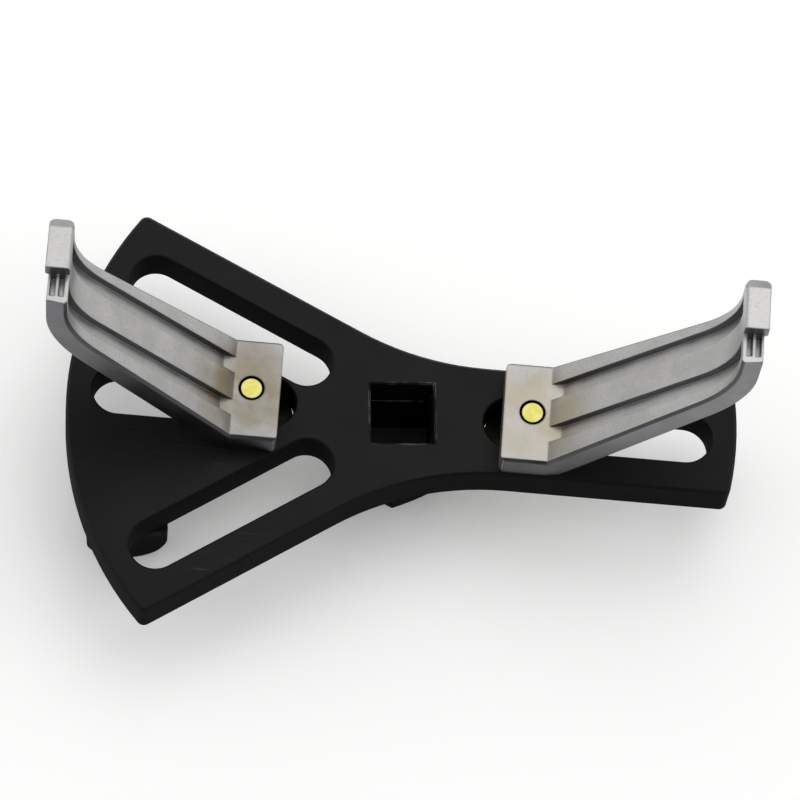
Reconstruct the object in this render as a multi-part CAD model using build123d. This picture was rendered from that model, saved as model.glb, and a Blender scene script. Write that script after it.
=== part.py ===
from build123d import *
import os
from math import atan2, cos, degrees, radians, sin, tan

# Two-jaw oil filter wrench: a slotted plate turned by a half-inch square drive, with two die-cast jaws.
# Millimetres, +Z up. The origin is on the drive axis, in the flat bottom face of the hexagon hub.
# +X runs along the slot line towards the single arm, and both jaws slide on that line.

# plate
rim_radius = 68.3
plate_thickness = 9.0
slot_width = 10.5
slot_margin = 6.4            # metal from a slot's side to the plate's edge
slot_outer_radius = 57.8     # centre of every slot's outer end
diagonal_inner_radius = 22.4
left_inner_radius = 27.0
right_inner_radius = 21.9
fan_half_angle = 30.0        # each diagonal slot from the fan's centreline
fan_turn = 4.6               # the fan and the drive square are turned this far from the slot line
waist_radius = 60.0
corner_radius = 1.6
plate_bevel = 0.6
hole_bevel = 0.35

# drive hub, welded under the plate
drive_square = 12.9
hub_height = 14.4
hub_across_flats = 20.6     # 13/16 inch
hub_bevel = 30.0             # angle of the hexagon's end bevel
weld_leg = 2.2

# rest foot, a half-round lug welded under the plate near the rim
foot_width = 16.4
foot_thickness = 5.4
foot_x = -53.8
foot_y = -24.9
foot_turn = 8.0              # from the slot line
foot_bevel = 0.6
foot_weld_leg = 1.0
foot_weld_end = 1.5          # bare length at each end of the foot

# jaws: x runs outwards from the bolt, y to the toothed side, z up from the pad's underside
pad_thickness = 6.2
pad_inner = 5.85
pad_corner = 1.2
near_half_width = 11.0       # to the plain side
far_half_width = 10.4        # to the toothed side
bend_from_bolt = 3.6
tip_face = 36.9
tip_thickness = 4.1
tip_height = 51.6            # above the pad's top face
tip_straight = 16.75         # the upright part, from the arm's corner up
arm_curve = 22.0
near_taper = 7.6             # the plain side leans in by this angle beyond the bend
near_bevel = 0.6
far_bevel = 0.3
channel_depth = 1.7
channel_lean = 3.8
channel_sides = ((3.0, 6.5), (-6.2, -2.8))
channel_ramp = 2.5           # the floor rises to nothing over this length at the bend
channel_stop = 5.5           # below the tip's top
tooth_length = 10.7
tooth_overhang = 0.7         # outwards beyond the tip
tooth_bevel = 0.4
tooth_end_length = 2.0
tooth_end_drop = 1.0
step_drop = 2.9
tooth_corner = 1.3           # radius of the tooth's far corners in plan
pocket_depth = 2.4
pocket_width = 1.15
pocket_inner_wall = 0.8
pocket_outer_wall = 0.45
pocket_lip = 1.1

# bolts, washers and guide bushes
left_bolt_radius = 31.0
right_bolt_radius = 26.0
bolt_diameter = 6.0
thread_diameter = 5.2        # the thread is a plain cylinder near its pitch line
bolt_tip_diameter = 4.2
head_across_flats = 10.0
head_height = 4.0
head_bevel = 0.5
washer_outer = 18.0
washer_thickness = 1.6
spring_outer = 11.2
spring_thickness = 1.6
spring_gap = 1.0
spring_split = 20.0          # the split's direction round the bolt
bush_edge = 0.4

# clearances, and the small overlap given to cutting shapes
thread_clearance = 0.05      # radial
bolt_clearance = 0.2         # radial
slot_clearance = 0.1         # each side of the bush
face_clearance = 0.1         # between faces that slide on each other
tip_flush = 0.1              # the bolt ends this far below the pad's top
weld_start = 0.05            # radial thickness of a weld's thin end
cut_margin = 3.0
touch = 0.02                 # tolerance for picking edges

arm_rise = degrees(atan2(tip_height - tip_straight, tip_face - bend_from_bolt))
plate_bottom = hub_height
plate_top = plate_bottom + plate_thickness
pad_bottom = plate_top + face_clearance
pad_top = pad_bottom + pad_thickness
washer_top = plate_bottom - face_clearance
spring_top = washer_top - washer_thickness
head_top = spring_top - spring_thickness
strip_half = slot_width / 2 + slot_margin
bolt_hole_diameter = bolt_diameter + 2 * bolt_clearance
upright = (Align.CENTER, Align.CENTER, Align.MIN)
foot_place = Pos(foot_x, foot_y, 0) * Rot(0, 0, foot_turn)
slots = {
    "left": (180.0, left_inner_radius),
    "right": (0.0, right_inner_radius),
    "upper": (180.0 + fan_turn - fan_half_angle, diagonal_inner_radius),
    "lower": (180.0 + fan_turn + fan_half_angle, diagonal_inner_radius),
}


def corners_near(shape, points):
    """The vertices of a flat shape that lie at the given points."""
    return shape.vertices().filter_by(
        lambda v: any((Vector(v.X, v.Y) - Vector(*point)).length < touch for point in points)
    )


def plate_outline():
    """A fan and a single arm inside one rim circle, joined by two wide concave waists."""
    apex = Vector(strip_half / sin(radians(fan_half_angle)), 0).rotate(Axis.Z, fan_turn)
    ray = Vector(3 * rim_radius, 0)
    upper_end = apex + ray.rotate(Axis.Z, slots["upper"][0])
    lower_end = apex + ray.rotate(Axis.Z, slots["lower"][0])
    fan = make_face(Polyline(apex, upper_end, lower_end, close=True))
    arm = Pos(rim_radius, 0) * Rectangle(2 * rim_radius, 2 * strip_half)
    outline = (fan + arm) & Circle(rim_radius)
    waists = outline.vertices().filter_by(lambda v: Vector(v.X, v.Y).length < rim_radius / 2)
    outline = fillet(waists, waist_radius)
    rim_corners = outline.vertices().filter_by(lambda v: Vector(v.X, v.Y).length > rim_radius - touch)
    return fillet(rim_corners, corner_radius)


def end_faces(part):
    levels = part.faces().filter_by(Axis.Z).sort_by(Axis.Z)
    return levels[0], levels[-1]


def make_plate():
    plate = extrude(Pos(0, 0, plate_bottom) * plate_outline(), plate_thickness)
    plate = chamfer([edge for face in end_faces(plate) for edge in face.edges()], plate_bevel)
    holes = Rectangle(drive_square, drive_square, rotation=fan_turn)
    for angle, inner_radius in slots.values():
        middle = (inner_radius + slot_outer_radius) / 2
        slot = SlotCenterToCenter(slot_outer_radius - inner_radius, slot_width)
        holes += Rot(0, 0, angle) * Pos(middle, 0) * slot
    plate -= extrude(Pos(0, 0, plate_bottom) * holes, plate_thickness)
    hole_edges = [edge for face in end_faces(plate) for wire in face.inner_wires() for edge in wire.edges()]
    return chamfer(hole_edges, hole_bevel)


def hexagon(across_flats):
    return RegularPolygon(across_flats / 2, 6, major_radius=False, rotation=30)


def make_hub():
    hub = extrude(hexagon(hub_across_flats), hub_height)
    cone_base = hub_across_flats / 2
    cone = Cone(cone_base, cone_base + hub_height / tan(radians(hub_bevel)), hub_height, align=upright)
    hub &= cone
    return hub - extrude(Rectangle(drive_square, drive_square, rotation=fan_turn), hub_height)


def make_hub_weld():
    low = hub_height - weld_leg
    bead = loft([
        Pos(0, 0, low) * hexagon(hub_across_flats + 2 * weld_start),
        Pos(0, 0, hub_height) * hexagon(hub_across_flats + 2 * weld_leg),
    ])
    return bead - extrude(Pos(0, 0, low) * hexagon(hub_across_flats), weld_leg)


def make_foot():
    """A lug with a half-round lower end, as low as the hub's bottom face."""
    round_radius = foot_width / 2
    side = Pos(0, hub_height) * Rectangle(foot_width, 2 * (hub_height - round_radius))
    side += Pos(0, round_radius) * Circle(round_radius)
    side &= Pos(0, hub_height / 2) * Rectangle(foot_width, hub_height)
    lug = extrude(Plane.XZ * side, foot_thickness / 2, both=True)
    ends = lug.faces().filter_by(Axis.Y)
    rounded = [edge for face in ends for edge in face.edges() if edge.center().Z < hub_height - foot_bevel]
    return foot_place * chamfer(rounded, foot_bevel)


def make_foot_weld():
    """One fillet bead along each long side of the foot, clear of its ends."""
    section = make_face(Polyline(
        (0, hub_height), (foot_weld_leg, hub_height), (0, hub_height - foot_weld_leg), close=True,
    ))
    half_length = foot_width / 2 - foot_weld_end
    bead = Pos(0, foot_thickness / 2, 0) * extrude(Plane.YZ * section, half_length, both=True)
    return foot_place * (bead + mirror(bead, Plane.XZ))


def inner_line(depth):
    """Bend and knee of the jaw's inner face line, moved into the metal by depth."""
    bend = (bend_from_bolt + depth * tan(radians(arm_rise / 2)), pad_thickness - depth)
    face = tip_face + depth
    knee = (face, bend[1] + (face - bend[0]) * tan(radians(arm_rise)))
    return bend, knee


def jaw_profile():
    """Side view of the jaw: pad, rising arm and upright tip."""
    top = pad_thickness + tip_height
    tip_back = tip_face + tip_thickness
    bend, knee = inner_line(0)
    low_bend, _ = inner_line(pad_thickness)
    low_knee = (tip_back, (tip_back - low_bend[0]) * tan(radians(arm_rise)))
    side = make_face(Polyline(
        (-pad_inner, 0), low_bend, low_knee, (tip_back, top), (tip_face, top),
        knee, bend, (-pad_inner, pad_thickness), close=True,
    ))
    side = fillet(corners_near(side, [knee]), arm_curve)
    return fillet(corners_near(side, [low_knee]), arm_curve + tip_thickness)


def inner_skin(depth):
    """Side view of the layer that the channels are cut in, from the bend up past the tip."""
    reach = pad_thickness + 2 * tip_height
    bend, _ = inner_line(0)
    along = Vector(channel_ramp, 0).rotate(Axis.Z, arm_rise)
    low_bend, low_knee = inner_line(depth)
    high_bend, high_knee = inner_line(-cut_margin)
    skin = make_face(Polyline(
        bend, Vector(*low_bend) + along, low_knee, (low_knee[0], reach), (high_knee[0], reach), high_knee,
        high_bend, close=True,
    ))
    skin = fillet(corners_near(skin, [low_knee]), arm_curve + depth)
    return fillet(corners_near(skin, [high_knee]), arm_curve - cut_margin)


def slab(sketch, y_low, y_high):
    """A side view drawn in XZ, given thickness from y_low to y_high."""
    solid = extrude(Plane.XZ * sketch, -(y_high - y_low))
    return Pos(0, y_low, 0) * solid


def make_jaw():
    top = pad_thickness + tip_height
    tip_back = tip_face + tip_thickness
    jaw = slab(jaw_profile(), -near_half_width, far_half_width)
    lean = Rot(0, 0, near_taper) * Box(2 * tip_back, 2 * near_half_width, 3 * top,
                                       align=(Align.MIN, Align.MAX, Align.CENTER))
    jaw -= Pos(bend_from_bolt, -near_half_width, 0) * lean
    jaw = bevel_top_edges(jaw)

    channels = slab(inner_skin(channel_depth), -near_half_width, far_half_width)
    shift = tan(radians(channel_lean)) * (tip_back - bend_from_bolt)
    for low, high in channel_sides:
        strip = make_face(Polyline(
            (bend_from_bolt, low), (tip_back, low + shift), (tip_back, high + shift), (bend_from_bolt, high),
            close=True,
        ))
        jaw -= channels & extrude(strip, top - channel_stop)

    tooth_end = far_half_width - tooth_length
    step_top = top - step_drop
    jaw += make_tooth_lip(tooth_end, step_top)
    around = Pos(tip_face, 0, step_top) * Box(4 * tip_thickness, 4 * near_half_width, 2 * step_drop,
                                              align=(Align.CENTER, Align.CENTER, Align.MIN))
    jaw -= around - extrude(Pos(0, 0, step_top) * tooth_plan(tooth_end), 2 * step_drop)
    near_end = tan(radians(near_taper)) * (tip_back - bend_from_bolt) - near_half_width
    pocket = Box(pocket_width, tooth_end - near_end - pocket_lip, pocket_depth,
                 align=(Align.MIN, Align.MAX, Align.MAX))
    jaw -= Pos(tip_face + pocket_inner_wall, tooth_end, step_top) * pocket
    jaw -= Pos(tip_back - pocket_outer_wall - pocket_width, tooth_end, step_top) * pocket

    end_cut = make_face(Polyline(
        (far_half_width, top - tooth_end_drop), (far_half_width - tooth_end_length, top),
        (far_half_width, top), close=True,
    ))
    jaw -= extrude(Plane.YZ * end_cut, tip_back + tooth_overhang)
    inner_edge = jaw.edges().filter_by(Axis.Y).filter_by_position(Axis.Z, top, top).sort_by(Axis.X)[0]
    jaw = chamfer(inner_edge, tooth_bevel)
    jaw = fillet(jaw.edges().filter_by(Axis.Z).group_by(Axis.X)[0], pad_corner)
    hole_radius = thread_diameter / 2 + thread_clearance
    return jaw - Cylinder(hole_radius, pad_thickness, align=upright)


def bevel_top_edges(jaw):
    """Bevels along the inner face's two long edges, from the pad to the tip's top."""
    for side, size in ((-1, near_bevel), (1, far_bevel)):
        long_edges = []
        for face in jaw.faces():
            if side * face.normal_at().Y > cos(radians(2 * near_taper)):
                long_edges += [edge for edge in face.edges() if on_inner_face(edge)]
        jaw = chamfer(long_edges, size)
    return jaw


def on_inner_face(edge):
    middle = edge @ 0.5
    if middle.X < bend_from_bolt:
        return abs(middle.Z - pad_thickness) < touch
    arm_height = pad_thickness + (middle.X - bend_from_bolt) * tan(radians(arm_rise))
    return middle.Z > arm_height - touch and middle.X < tip_face + touch


def tooth_plan(tooth_end):
    """Top view of the tooth, with round corners at its far end."""
    outer = tip_face + tip_thickness + tooth_overhang
    far_corners = [(tip_face, far_half_width), (outer, far_half_width)]
    plan = make_face(Polyline(*far_corners, (outer, tooth_end), (tip_face, tooth_end), close=True))
    return fillet(corners_near(plan, far_corners), tooth_corner)


def make_tooth_lip(tooth_end, step_top):
    """The tooth's overhang on the outer side, with a sloping underside."""
    top = pad_thickness + tip_height
    tip_back = tip_face + tip_thickness
    lip = make_face(Polyline(
        (tip_back, step_top - tooth_overhang), (tip_back + tooth_overhang, step_top),
        (tip_back + tooth_overhang, top), (tip_back, top), close=True,
    ))
    return slab(lip, tooth_end, far_half_width)


def make_bolt():
    head = Pos(0, 0, head_top - head_height) * extrude(hexagon(head_across_flats), head_height)
    head = chamfer(head.faces().sort_by(Axis.Z)[0].edges(), head_bevel)
    plain_length = pad_bottom - face_clearance - head_top
    shank = Pos(0, 0, head_top) * Cylinder(bolt_diameter / 2, plain_length, align=upright)
    end = pad_top - tip_flush
    thread = Pos(0, 0, head_top) * Cylinder(thread_diameter / 2, end - head_top, align=upright)
    thread = chamfer(thread.edges().sort_by(Axis.Z)[-1], (thread_diameter - bolt_tip_diameter) / 2)
    return head + shank + thread


def make_flat_washer():
    disc = Cylinder(washer_outer / 2, washer_thickness, align=upright)
    disc -= Cylinder(bolt_hole_diameter / 2, washer_thickness, align=upright)
    return Pos(0, 0, spring_top) * disc


def make_spring_washer():
    ring = Cylinder(spring_outer / 2, spring_thickness, align=upright)
    ring -= Cylinder(bolt_hole_diameter / 2, spring_thickness, align=upright)
    split = Box(spring_outer, spring_gap, 3 * spring_thickness, align=(Align.MIN, Align.CENTER, Align.CENTER))
    return Pos(0, 0, head_top) * (ring - Rot(0, 0, spring_split) * split)


def make_bush():
    height = plate_thickness - 2 * face_clearance
    outer = slot_width / 2 - slot_clearance
    bush = Cylinder(outer, height, align=upright)
    bush = chamfer(bush.edges(), bush_edge)
    bush -= Cylinder(bolt_hole_diameter / 2, height, align=upright)
    return Pos(0, 0, plate_bottom + face_clearance) * bush


def main():
    os.makedirs("parts", exist_ok=True)
    nodes = {
        "slotted_plate": make_plate(),
        "drive_hub": make_hub(),
        "hub_weld": make_hub_weld(),
        "rest_foot": make_foot(),
        "foot_weld": make_foot_weld(),
    }
    jaw = Pos(0, 0, pad_bottom) * make_jaw()
    carried = {
        "jaw": jaw,
        "guide_bush": make_bush(),
        "clamp_bolt": make_bolt(),
        "flat_washer": make_flat_washer(),
        "spring_washer": make_spring_washer(),
    }
    for name, shape in carried.items():
        nodes[name + "_right"] = Pos(right_bolt_radius, 0, 0) * shape
        nodes[name + "_left"] = Pos(-left_bolt_radius, 0, 0) * mirror(shape, Plane.YZ)
    for name, shape in nodes.items():
        export_step(shape, f"parts/{name}.step")


if __name__ == "__main__":
    main()
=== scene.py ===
import math

import bpy
from mathutils import Matrix, Vector


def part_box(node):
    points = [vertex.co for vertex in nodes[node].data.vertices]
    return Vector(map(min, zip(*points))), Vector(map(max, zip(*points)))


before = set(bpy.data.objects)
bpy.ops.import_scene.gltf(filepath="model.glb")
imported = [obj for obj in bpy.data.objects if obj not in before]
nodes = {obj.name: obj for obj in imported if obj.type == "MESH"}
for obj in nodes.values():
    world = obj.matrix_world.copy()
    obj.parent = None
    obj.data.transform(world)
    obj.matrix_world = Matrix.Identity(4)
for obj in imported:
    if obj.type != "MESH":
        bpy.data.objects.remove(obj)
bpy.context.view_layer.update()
print("frame loaded:", len(nodes), "pieces")


def mm(value):
    return value / 1000.0


def paint(hexCode):
    # an sRGB hex colour as the linear colour that sockets take
    channels = [int(hexCode[i:i + 2], 16) / 255.0 for i in (1, 3, 5)]
    linear = [c / 12.92 if c <= 0.04045 else ((c + 0.055) / 1.055) ** 2.4 for c in channels]
    return (*linear, 1.0)


smooth = {"interpolation_type": "SMOOTHSTEP"}
blend = {"data_type": "RGBA"}    # a colour Mix node: 0 is the amount, 6 the colour under, 7 the colour over


def addNode(tree, kind, sockets=None, **settings):
    # sockets gives each input's value, or the output that it is linked from
    node = tree.nodes.new("ShaderNode" + kind)
    for name, value in settings.items():
        setattr(node, name, value)
    for name, value in (sockets or {}).items():
        if isinstance(value, bpy.types.NodeSocket):
            tree.links.new(value, node.inputs[name])
        else:
            node.inputs[name].default_value = value
    return node


def newFinish(name, shaderValues):
    material = bpy.data.materials.new(name)
    material.use_nodes = True
    tree = material.node_tree
    tree.nodes.clear()
    shader = addNode(tree, "BsdfPrincipled", shaderValues)
    addNode(tree, "OutputMaterial", {"Surface": shader.outputs["BSDF"]})
    place = addNode(tree, "TexCoord").outputs["Object"]
    return material, tree, shader, place


def grain(tree, place, size, detail=3.0, stretch=(1, 1, 1), turn=0):
    # noise whose lumps are about size metres across, turned by degrees in the flat
    moved = addNode(tree, "Mapping", {"Vector": place, "Scale": stretch, "Rotation": (0, 0, math.radians(turn))})
    noise = addNode(tree, "TexNoise", {"Vector": moved.outputs["Vector"], "Scale": 1 / size, "Detail": detail})
    return noise.outputs["Fac"]


def edgeAmount(tree, radius, low=0.02, high=0.3):
    # how far the surface turns within radius: 0 on flats, 1 on sharp edges
    soft = addNode(tree, "Bevel", {"Radius": radius}, samples=4)
    flat = addNode(tree, "NewGeometry")
    dot = addNode(tree, "VectorMath", {0: soft.outputs["Normal"], 1: flat.outputs["Normal"]},
                  operation="DOT_PRODUCT")
    turned = addNode(tree, "Math", {0: 1.0, 1: dot.outputs["Value"]}, operation="SUBTRACT")
    return addNode(tree, "MapRange", {"Value": turned.outputs["Value"], "From Min": low, "From Max": high},
                   **smooth).outputs["Result"]


def byHeight(tree, place, heights, below=0.0, above=1.0):
    # below under the first height, above over the second
    parts = addNode(tree, "SeparateXYZ", {"Vector": place})
    return addNode(tree, "MapRange", {"Value": parts.outputs["Z"], "From Min": heights[0],
                                      "From Max": heights[1], "To Min": below, "To Max": above},
                   **smooth).outputs["Result"]


def facing(tree, axis, low, high):
    # 1 on faces that look along the axis, either way, and 0 on those that look across it
    normal = addNode(tree, "TexCoord").outputs["Normal"]
    parts = addNode(tree, "SeparateXYZ", {"Vector": normal})
    size = addNode(tree, "Math", {0: parts.outputs[axis]}, operation="ABSOLUTE")
    return addNode(tree, "MapRange", {"Value": size.outputs["Value"], "From Min": low, "From Max": high},
                   **smooth).outputs["Result"]


def nearPoint(tree, place, centre, radii, inside=1.0, outside=0.0):
    # inside within the first radius of the vertical line through centre, outside beyond the second
    moved = addNode(tree, "Mapping", {"Vector": place, "Location": (centre[0], centre[1], 0)},
                    vector_type="TEXTURE")
    parts = addNode(tree, "SeparateXYZ", {"Vector": moved.outputs["Vector"]})
    level = addNode(tree, "CombineXYZ", {"X": parts.outputs["X"], "Y": parts.outputs["Y"]})
    away = addNode(tree, "VectorMath", {0: level.outputs["Vector"]}, operation="LENGTH")
    return addNode(tree, "MapRange", {"Value": away.outputs["Value"], "From Min": radii[0],
                                      "From Max": radii[1], "To Min": inside, "To Max": outside},
                   **smooth).outputs["Result"]


def nearSquare(tree, place, turn, halves):
    # 1 within a turned square of the first half width round the drive axis, 0 beyond the second
    turned = addNode(tree, "Mapping", {"Vector": place, "Rotation": (0, 0, math.radians(turn))},
                     vector_type="TEXTURE")
    parts = addNode(tree, "SeparateXYZ", {"Vector": turned.outputs["Vector"]})
    across = addNode(tree, "Math", {0: parts.outputs["X"]}, operation="ABSOLUTE")
    along = addNode(tree, "Math", {0: parts.outputs["Y"]}, operation="ABSOLUTE")
    away = addNode(tree, "Math", {0: across.outputs["Value"], 1: along.outputs["Value"]},
                   operation="MAXIMUM")
    return addNode(tree, "MapRange", {"Value": away.outputs["Value"], "From Min": halves[0],
                                      "From Max": halves[1], "To Min": 1.0, "To Max": 0.0},
                   **smooth).outputs["Result"]


plateFinish = {
    "black": "#161616",
    "blackDeep": "#0c0c0c",
    # painted shade: the colour of the sideways walls
    "wallShade": "#050505",
    "scuff": "#3c3b39",
    "bare": "#b5b2ab",
    "gloss": 0.12,
    "roughness": (0.40, 0.54),
    "wallRoughness": 0.95,
    "mottleSize": mm(14),
    "grainSize": mm(0.6),
    "grainDepth": mm(0.05),
    "scratchWidth": mm(0.5),    # real scratches are finer; drawn this wide so that they show
    "scratchLength": mm(18),
    "scratchPatch": mm(22),
    "scratchTurns": (12, 74, 139),
    "scratchAmount": 0.5,
    "rubSize": mm(3.5),
    "rubAmount": 0.22,
    "edgeRadius": mm(0.5),
    "softRadius": mm(0.3),
    "squareTurn": 4.6,
    "squareWear": (mm(6.75), mm(7.85)),    # half widths of the worn band round the square hole
}


def makeBlackSteel():
    # black oxide over ground steel plate: nearly black with a dull sheen, fine scratches, bright worn edges
    s = plateFinish
    material, tree, shader, place = newFinish("blackOxideSteel", {"Metallic": 0.0,
                                                                  "Specular IOR Level": s["gloss"]})
    mottle = grain(tree, place, s["mottleSize"], detail=5.0)
    base = addNode(tree, "Mix", {0: mottle, 6: paint(s["blackDeep"]), 7: paint(s["black"])}, **blend).outputs[2]
    # painted shade: faces that look sideways, the walls, are painted near black
    level = facing(tree, "Z", 0.2, 0.6)
    base = addNode(tree, "Mix", {0: level, 6: paint(s["wallShade"]), 7: base}, **blend).outputs[2]

    # straight scratches in three directions, in patches
    stretch = (s["scratchWidth"] / s["scratchLength"], 1, 1)
    scratches = 0.0
    for turn in s["scratchTurns"]:
        lines = grain(tree, place, s["scratchWidth"], detail=1.0, stretch=stretch, turn=turn)
        lines = addNode(tree, "MapRange", {"Value": lines, "From Min": 0.70, "From Max": 0.76},
                        **smooth).outputs["Result"]
        scratches = addNode(tree, "Math", {0: scratches, 1: lines}, operation="MAXIMUM").outputs["Value"]
    patches = addNode(tree, "MapRange", {"Value": grain(tree, place, s["scratchPatch"], detail=2.0),
                                         "From Min": 0.52, "From Max": 0.66,
                                         "To Max": s["scratchAmount"]}, **smooth).outputs["Result"]
    scratches = addNode(tree, "Math", {0: scratches, 1: patches}, operation="MULTIPLY").outputs["Value"]
    base = addNode(tree, "Mix", {0: scratches, 6: base, 7: paint(s["scuff"])}, **blend).outputs[2]

    # edges rubbed dull in places, and to bare steel round the square hole
    rubbed = addNode(tree, "MapRange", {"Value": grain(tree, place, s["rubSize"], detail=4.0),
                                        "From Min": 0.45, "From Max": 0.68}, **smooth).outputs["Result"]
    edges = addNode(tree, "Math", {0: edgeAmount(tree, s["edgeRadius"]), 1: rubbed},
                    operation="MULTIPLY").outputs["Value"]
    dulled = addNode(tree, "Math", {0: edges, 1: s["rubAmount"]}, operation="MULTIPLY").outputs["Value"]
    base = addNode(tree, "Mix", {0: dulled, 6: base, 7: paint(s["scuff"])}, **blend).outputs[2]
    worn = addNode(tree, "Math", {0: edges, 1: nearSquare(tree, place, s["squareTurn"], s["squareWear"])},
                   operation="MULTIPLY").outputs["Value"]
    base = addNode(tree, "Mix", {0: worn, 6: base, 7: paint(s["bare"])}, **blend).outputs[2]
    tree.links.new(base, shader.inputs["Base Color"])

    # sawn and cut walls are rougher than the ground faces
    faces = addNode(tree, "MapRange", {"Value": mottle, "From Min": 0.3, "From Max": 0.7,
                                       "To Min": s["roughness"][0], "To Max": s["roughness"][1]}, **smooth)
    walls = addNode(tree, "MapRange", {"Value": level, "To Min": s["wallRoughness"], "To Max": 0.0}, **smooth)
    roughness = addNode(tree, "Math", {0: faces.outputs["Result"], 1: walls.outputs["Result"]},
                        operation="MAXIMUM")
    tree.links.new(roughness.outputs["Value"], shader.inputs["Roughness"])
    soft = addNode(tree, "Bevel", {"Radius": s["softRadius"]}, samples=4)
    bump = addNode(tree, "Bump", {"Strength": 0.12, "Distance": s["grainDepth"],
                                  "Height": grain(tree, place, s["grainSize"], detail=2.0),
                                  "Normal": soft.outputs["Normal"]})
    tree.links.new(bump.outputs["Normal"], shader.inputs["Normal"])
    return material


weldFinish = {
    "black": "#1d1c1b",
    "heat": "#2c2724",
    "gloss": 0.4,
    "roughness": 0.42,
    "ripple": mm(1.1),
    "rippleDepth": mm(0.3),
}


def makeWeldSteel():
    # a blackened weld bead: rippled, a little glossier than the plate
    s = weldFinish
    material, tree, shader, place = newFinish("blackenedWeldBead", {"Metallic": 0.0, "Roughness": s["roughness"],
                                                                    "Specular IOR Level": s["gloss"]})
    lumps = grain(tree, place, s["ripple"], detail=2.0)
    base = addNode(tree, "Mix", {0: lumps, 6: paint(s["black"]), 7: paint(s["heat"])}, **blend)
    tree.links.new(base.outputs[2], shader.inputs["Base Color"])
    bump = addNode(tree, "Bump", {"Strength": 0.5, "Distance": s["rippleDepth"], "Height": lumps})
    tree.links.new(bump.outputs["Normal"], shader.inputs["Normal"])
    return material


jawFinish = {
    "metal": "#b9b8b7",
    "metalDull": "#aaa9a8",
    "speckle": "#959493",
    "speckleAmount": 0.45,
    # painted shade: the long sides are coloured darker than the faces that look up
    "sidePaintedShade": {"left": "#6b6b6e", "right": "#7c7c7f"},
    "sideShade": "#4a4a4c",
    "sideHeights": (mm(27), mm(48)),    # the long sides are darker low down
    # painted shade: the pad is greyed, more on the left jaw
    "padShade": "#6a6a6e",
    "padShadeAmount": {"left": 0.4, "right": 0.22},
    "padShadeHeights": (mm(30.2), mm(32)),    # the painted shade is on the pad only
    # painted shade on the bevels between the long sides and the inner face
    "bevelShade": "#3a393b",
    "bevelShadeAmount": 0.85,
    "stain": {"left": "#857a5c", "right": "#a1946f"},
    "stainAmount": {"left": 0.95, "right": 0.6},
    "stainRadii": (mm(4.5), mm(15)),
    "stainPatch": mm(6),
    # brown dirt and painted shade in hollows
    "dirtAndShade": {"left": "#4e4941", "right": "#2a2523"},
    "dirtAndShadeAmount": {"left": 0.6, "right": 0.9},
    "dirtAndShadeHeights": (mm(30), mm(30.6)),    # brown dirt and painted shade sit in hollows above the pad, and less above the channels
    "tipHeights": (mm(70), mm(74)),
    "tipDirtAndShade": 0.35,
    "crevice": mm(0.9),
    "castSize": mm(7),
    "castDepth": mm(0.15),
    "tumbleSize": mm(0.45),
    "tumbleDepth": mm(0.04),
    "roughness": (0.36, 0.48),
    "edgeRadius": mm(0.45),
}


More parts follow.
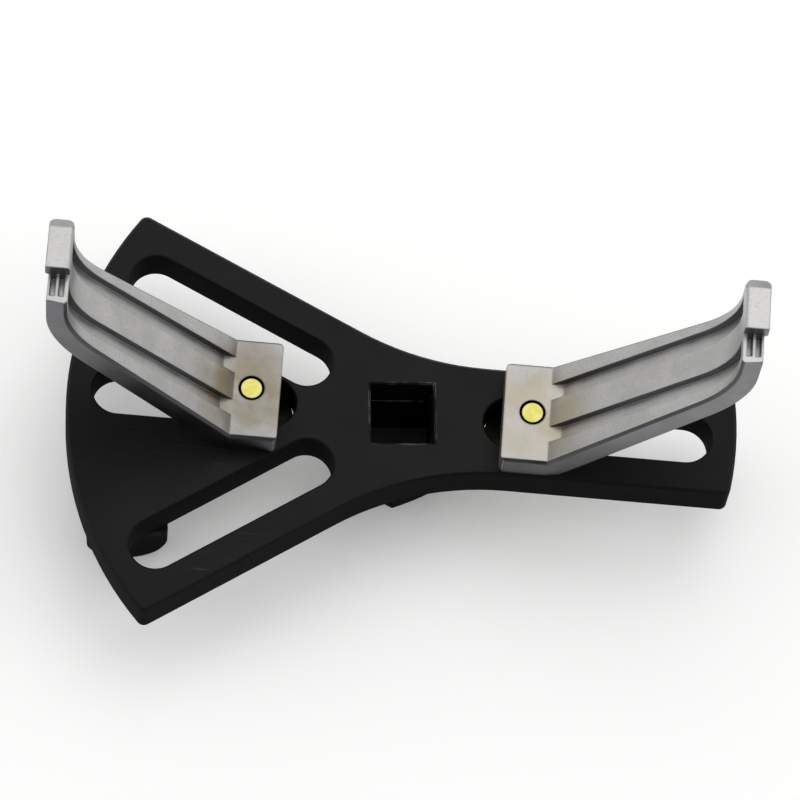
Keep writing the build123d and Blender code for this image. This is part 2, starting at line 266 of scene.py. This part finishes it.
def makeCastAluminium(side):
    # tumbled die-cast aluminium: pale grey satin, softly rounded edges, dirt and painted shade in its channels,
    # painted shade on its long sides, bevels and pad, and brownish thread oil round the bolt's end
    s = jawFinish
    low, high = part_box("clamp_bolt_" + side)
    centre = (low + high) / 2
    material, tree, shader, place = newFinish("dieCastAluminium_" + side, {"Metallic": 1.0})
    cast = grain(tree, place, s["castSize"], detail=5.0)
    clouds = addNode(tree, "MapRange", {"Value": cast, "From Min": 0.35, "From Max": 0.65}, **smooth)
    base = addNode(tree, "Mix", {0: clouds.outputs["Result"], 6: paint(s["metalDull"]), 7: paint(s["metal"])},
                   **blend).outputs[2]
    tumbled = grain(tree, place, s["tumbleSize"], detail=2.0)
    specks = addNode(tree, "MapRange", {"Value": tumbled, "From Min": 0.5, "From Max": 0.7,
                                        "To Max": s["speckleAmount"]}, **smooth)
    base = addNode(tree, "Mix", {0: specks.outputs["Result"], 6: base, 7: paint(s["speckle"])},
                   **blend).outputs[2]

    # thread oil round the bolt
    patches = addNode(tree, "MapRange", {"Value": grain(tree, place, s["stainPatch"], detail=4.0),
                                         "From Min": 0.3, "From Max": 0.62, "To Min": 0.35}, **smooth)
    oil = addNode(tree, "Math", {0: nearPoint(tree, place, centre, s["stainRadii"], s["stainAmount"][side]),
                                 1: patches.outputs["Result"]}, operation="MULTIPLY").outputs["Value"]
    base = addNode(tree, "Mix", {0: oil, 6: base, 7: paint(s["stain"][side])}, **blend).outputs[2]

    # long sides painted darker as shade, and painted shade on the bevels between them and the inner face
    sides = addNode(tree, "Mix", {0: byHeight(tree, place, s["sideHeights"]), 6: paint(s["sideShade"]),
                                  7: paint(s["sidePaintedShade"][side])}, **blend).outputs[2]
    base = addNode(tree, "Mix", {0: facing(tree, "Y", 0.8, 0.95), 6: base, 7: sides}, **blend).outputs[2]
    notSides = addNode(tree, "MapRange", {"Value": facing(tree, "Y", 0.0, 1.0), "From Min": 0.86,
                                          "From Max": 0.93, "To Min": s["bevelShadeAmount"], "To Max": 0.0},
                       **smooth).outputs["Result"]
    bevels = addNode(tree, "Math", {0: facing(tree, "Y", 0.5, 0.6), 1: notSides},
                     operation="MULTIPLY").outputs["Value"]
    base = addNode(tree, "Mix", {0: bevels, 6: base, 7: paint(s["bevelShade"])}, **blend).outputs[2]

    # painted shade in grey on the pad, and dirt with painted shade in the channels
    padShade = byHeight(tree, place, s["padShadeHeights"], s["padShadeAmount"][side], 0.0)
    base = addNode(tree, "Mix", {0: padShade, 6: base, 7: paint(s["padShade"])}, **blend).outputs[2]
    # hollows found by ambient occlusion are darkened: dirt and painted shade
    openness = addNode(tree, "AmbientOcclusion", {"Distance": s["crevice"]}, samples=8, only_local=True)
    closed = addNode(tree, "MapRange", {"Value": openness.outputs["AO"], "From Min": 0.35, "From Max": 0.75,
                                        "To Min": s["dirtAndShadeAmount"][side], "To Max": 0.0},
                     **smooth).outputs["Result"]
    between = addNode(tree, "Math", {0: byHeight(tree, place, s["dirtAndShadeHeights"]),
                                     1: byHeight(tree, place, s["tipHeights"], 1.0, s["tipDirtAndShade"])},
                      operation="MULTIPLY").outputs["Value"]
    dirtAndShade = addNode(tree, "Math", {0: closed, 1: between}, operation="MULTIPLY").outputs["Value"]
    base = addNode(tree, "Mix", {0: dirtAndShade, 6: base, 7: paint(s["dirtAndShade"][side])}, **blend).outputs[2]
    tree.links.new(base, shader.inputs["Base Color"])

    roughness = addNode(tree, "MapRange", {"Value": cast, "From Min": 0.3, "From Max": 0.7,
                                           "To Min": s["roughness"][0], "To Max": s["roughness"][1]}, **smooth)
    tree.links.new(roughness.outputs["Result"], shader.inputs["Roughness"])
    soft = addNode(tree, "Bevel", {"Radius": s["edgeRadius"]}, samples=6)
    fine = addNode(tree, "Bump", {"Strength": 0.10, "Distance": s["tumbleDepth"], "Height": tumbled,
                                  "Normal": soft.outputs["Normal"]})
    wavy = addNode(tree, "Bump", {"Strength": 0.25, "Distance": s["castDepth"], "Height": cast,
                                  "Normal": fine.outputs["Normal"]})
    tree.links.new(wavy.outputs["Normal"], shader.inputs["Normal"])
    return material


platedFinish = {
    "clear": {"pale": "#b9bcc0", "deep": "#9a9ea3", "roughness": (0.28, 0.38)},
    # painted shade: zinc darkened for washers that sit in shade
    "oliveInShade": {"pale": "#2f2e20", "deep": "#1b1b14", "roughness": (0.38, 0.5)},
    "yellow": {"pale": "#c8bf78", "deep": "#b0ac5a", "roughness": (0.32, 0.42)},
    "cloudSize": mm(1.6),
    "grainSize": mm(0.3),
    "grainDepth": mm(0.03),
    "softRadius": mm(0.2),
    # painted shadow round the bolt's flat end
    "ringShade": "#14130f",
    "ringShadeRadii": (mm(2.05), mm(2.2)),
    "ringShadeHeights": (mm(27), mm(28)),
}


def makePlated(name, plating, centre=None):
    # chromated zinc plate on turned steel: a soft metallic sheen, faintly clouded
    s = platedFinish
    colours = s[plating]
    material, tree, shader, place = newFinish(name, {"Metallic": 1.0})
    cloud = grain(tree, place, s["cloudSize"], detail=3.0)
    clouded = addNode(tree, "MapRange", {"Value": cloud, "From Min": 0.35, "From Max": 0.65}, **smooth)
    base = addNode(tree, "Mix", {0: clouded.outputs["Result"], 6: paint(colours["deep"]),
                                 7: paint(colours["pale"])}, **blend).outputs[2]
    if centre is not None:
        # painted shadow: the bevel round the bolt's flat end is painted black, for the shade in the gap to the
        # tapped hole
        rim = addNode(tree, "Math", {0: nearPoint(tree, place, centre, s["ringShadeRadii"], 0.0, 1.0),
                                     1: byHeight(tree, place, s["ringShadeHeights"])}, operation="MULTIPLY")
        base = addNode(tree, "Mix", {0: rim.outputs["Value"], 6: base, 7: paint(s["ringShade"])},
                       **blend).outputs[2]
    tree.links.new(base, shader.inputs["Base Color"])
    rough = colours["roughness"]
    roughness = addNode(tree, "MapRange", {"Value": cloud, "From Min": 0.3, "From Max": 0.7,
                                           "To Min": rough[0], "To Max": rough[1]}, **smooth)
    tree.links.new(roughness.outputs["Result"], shader.inputs["Roughness"])
    soft = addNode(tree, "Bevel", {"Radius": s["softRadius"]}, samples=4)
    bump = addNode(tree, "Bump", {"Strength": 0.08, "Distance": s["grainDepth"],
                                  "Height": grain(tree, place, s["grainSize"], detail=2.0),
                                  "Normal": soft.outputs["Normal"]})
    tree.links.new(bump.outputs["Normal"], shader.inputs["Normal"])
    return material


def setFinish(nodeName, material):
    mesh = nodes[nodeName].data
    mesh.materials.clear()
    mesh.materials.append(material)


blackSteel = makeBlackSteel()
weldSteel = makeWeldSteel()
clearZinc = makePlated("clearZincPlate", "clear")    # bluish and bright
washerZincInShade = makePlated("washerZincPaintedShade", "oliveInShade")    # olive-black, for the large washers: zinc painted dark as shade, since they sit in shade under the plate
for name in ("slotted_plate", "drive_hub", "rest_foot"):
    setFinish(name, blackSteel)
for name in ("hub_weld", "foot_weld"):
    setFinish(name, weldSteel)
for side in ("left", "right"):
    setFinish("jaw_" + side, makeCastAluminium(side))
    low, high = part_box("clamp_bolt_" + side)
    yellowZinc = makePlated("yellowZincPlate_" + side, "yellow", (low + high) / 2)    # yellow and pale green
    setFinish("clamp_bolt_" + side, yellowZinc)
    setFinish("flat_washer_" + side, washerZincInShade)
    setFinish("guide_bush_" + side, clearZinc)
    setFinish("spring_washer_" + side, clearZinc)
print("finishes set")


cameraPlace = {
    "target": (-0.51, 4.16, 23.4),    # millimetres
    "azimuth": -4.54,
    "elevation": 66.87,
    "roll": 9.12,
    "distance": 1063,    # millimetres
    "lens": 235.2,
    "shift": (-0.0018, -0.0072),
    "clip": (0.01, 20),
}


def makeCamera():
    c = cameraPlace
    azimuth, elevation, roll = (math.radians(c[key]) for key in ("azimuth", "elevation", "roll"))
    back = Vector((math.sin(azimuth) * math.cos(elevation), -math.cos(azimuth) * math.cos(elevation),
                   math.sin(elevation)))
    level = Vector((0, 0, 1)).cross(back).normalized()
    lift = back.cross(level)
    right = level * math.cos(roll) + lift * math.sin(roll)
    up = back.cross(right)
    bpy.ops.object.camera_add()
    camera = bpy.context.object
    camera.name = "camera"
    turn = Matrix((right, up, back)).transposed().to_4x4()
    spot = Vector([mm(v) for v in c["target"]]) + back * mm(c["distance"])
    camera.matrix_world = Matrix.Translation(spot) @ turn
    camera.data.lens = c["lens"]
    camera.data.shift_x, camera.data.shift_y = c["shift"]
    camera.data.clip_start, camera.data.clip_end = c["clip"]
    bpy.context.scene.camera = camera


studio = {
    "floor": "#f4f4f3",
    "floorPale": "#f6f6f5",
    "floorCloud": 0.4,
    "floorSize": 6.0,
    "floorGlow": 0.2,
    "hubShade": "#2a2a2a",
    "hubRadii": (mm(10), mm(10.5)),
    "skyBright": 0.75,
    "skyFront": 0.08,
    "skyTurn": (-0.95, -0.15),    # the sky darkens between these, towards the front
    "aim": (0, 0, mm(40)),
    "key": {"place": (0.15, 0.35, 0.95), "size": 0.8, "power": 2.6},
    "left": {"place": (-0.9, 0.05, 0.45), "size": 0.6, "power": 1.0},
    "right": {"place": (0.9, 0.05, 0.45), "size": 0.6, "power": 0.8},
}


def makeStudio():
    s = studio
    bpy.ops.object.select_all(action="DESELECT")
    bpy.ops.mesh.primitive_plane_add(size=s["floorSize"])
    floor = bpy.context.object
    floor.name = "floor"
    material, tree, shader, place = newFinish("paperFloor", {"Roughness": 0.85,
                                                             "Emission Strength": s["floorGlow"]})
    # matt white background paper, plain but for one dark spot inside the hub's ring,
    # which only shows through the square hole
    insideHub = nearPoint(tree, place, (0, 0), s["hubRadii"])
    paper = addNode(tree, "Mix", {0: grain(tree, place, s["floorCloud"]), 6: paint(s["floor"]),
                                  7: paint(s["floorPale"])}, **blend).outputs[2]
    paper = addNode(tree, "Mix", {0: insideHub, 6: paper, 7: paint(s["hubShade"])}, **blend).outputs[2]
    tree.links.new(paper, shader.inputs["Base Color"])
    glow = addNode(tree, "Mix", {0: insideHub, 6: paint("#ffffff"), 7: paint("#000000")}, **blend)
    tree.links.new(glow.outputs[2], shader.inputs["Emission Color"])
    floor.data.materials.append(material)

    world = bpy.data.worlds.new("softRoom")
    bpy.context.scene.world = world
    world.use_nodes = True
    tree = world.node_tree
    tree.nodes.clear()
    direction = addNode(tree, "TexCoord").outputs["Generated"]
    parts = addNode(tree, "SeparateXYZ", {"Vector": direction})
    strength = addNode(tree, "MapRange", {"Value": parts.outputs["Y"], "From Min": s["skyTurn"][0],
                                          "From Max": s["skyTurn"][1], "To Min": s["skyFront"],
                                          "To Max": s["skyBright"]}, **smooth)
    sky = addNode(tree, "Background", {"Color": paint("#ffffff"), "Strength": strength.outputs["Result"]})
    addNode(tree, "OutputWorld", {"Surface": sky.outputs["Background"]})

    for name in ("key", "left", "right"):
        settings = s[name]
        bpy.ops.object.light_add(type="AREA", location=settings["place"])
        lamp = bpy.context.object
        lamp.name = name + "Softbox"
        lamp.data.shape = "SQUARE"
        lamp.data.size = settings["size"]
        lamp.data.energy = settings["power"]
        towards = Vector(s["aim"]) - Vector(settings["place"])
        lamp.rotation_euler = towards.to_track_quat("-Z", "Y").to_euler()


makeCamera()
makeStudio()
bpy.context.scene.view_settings.view_transform = "Standard"
print("camera and studio ready")
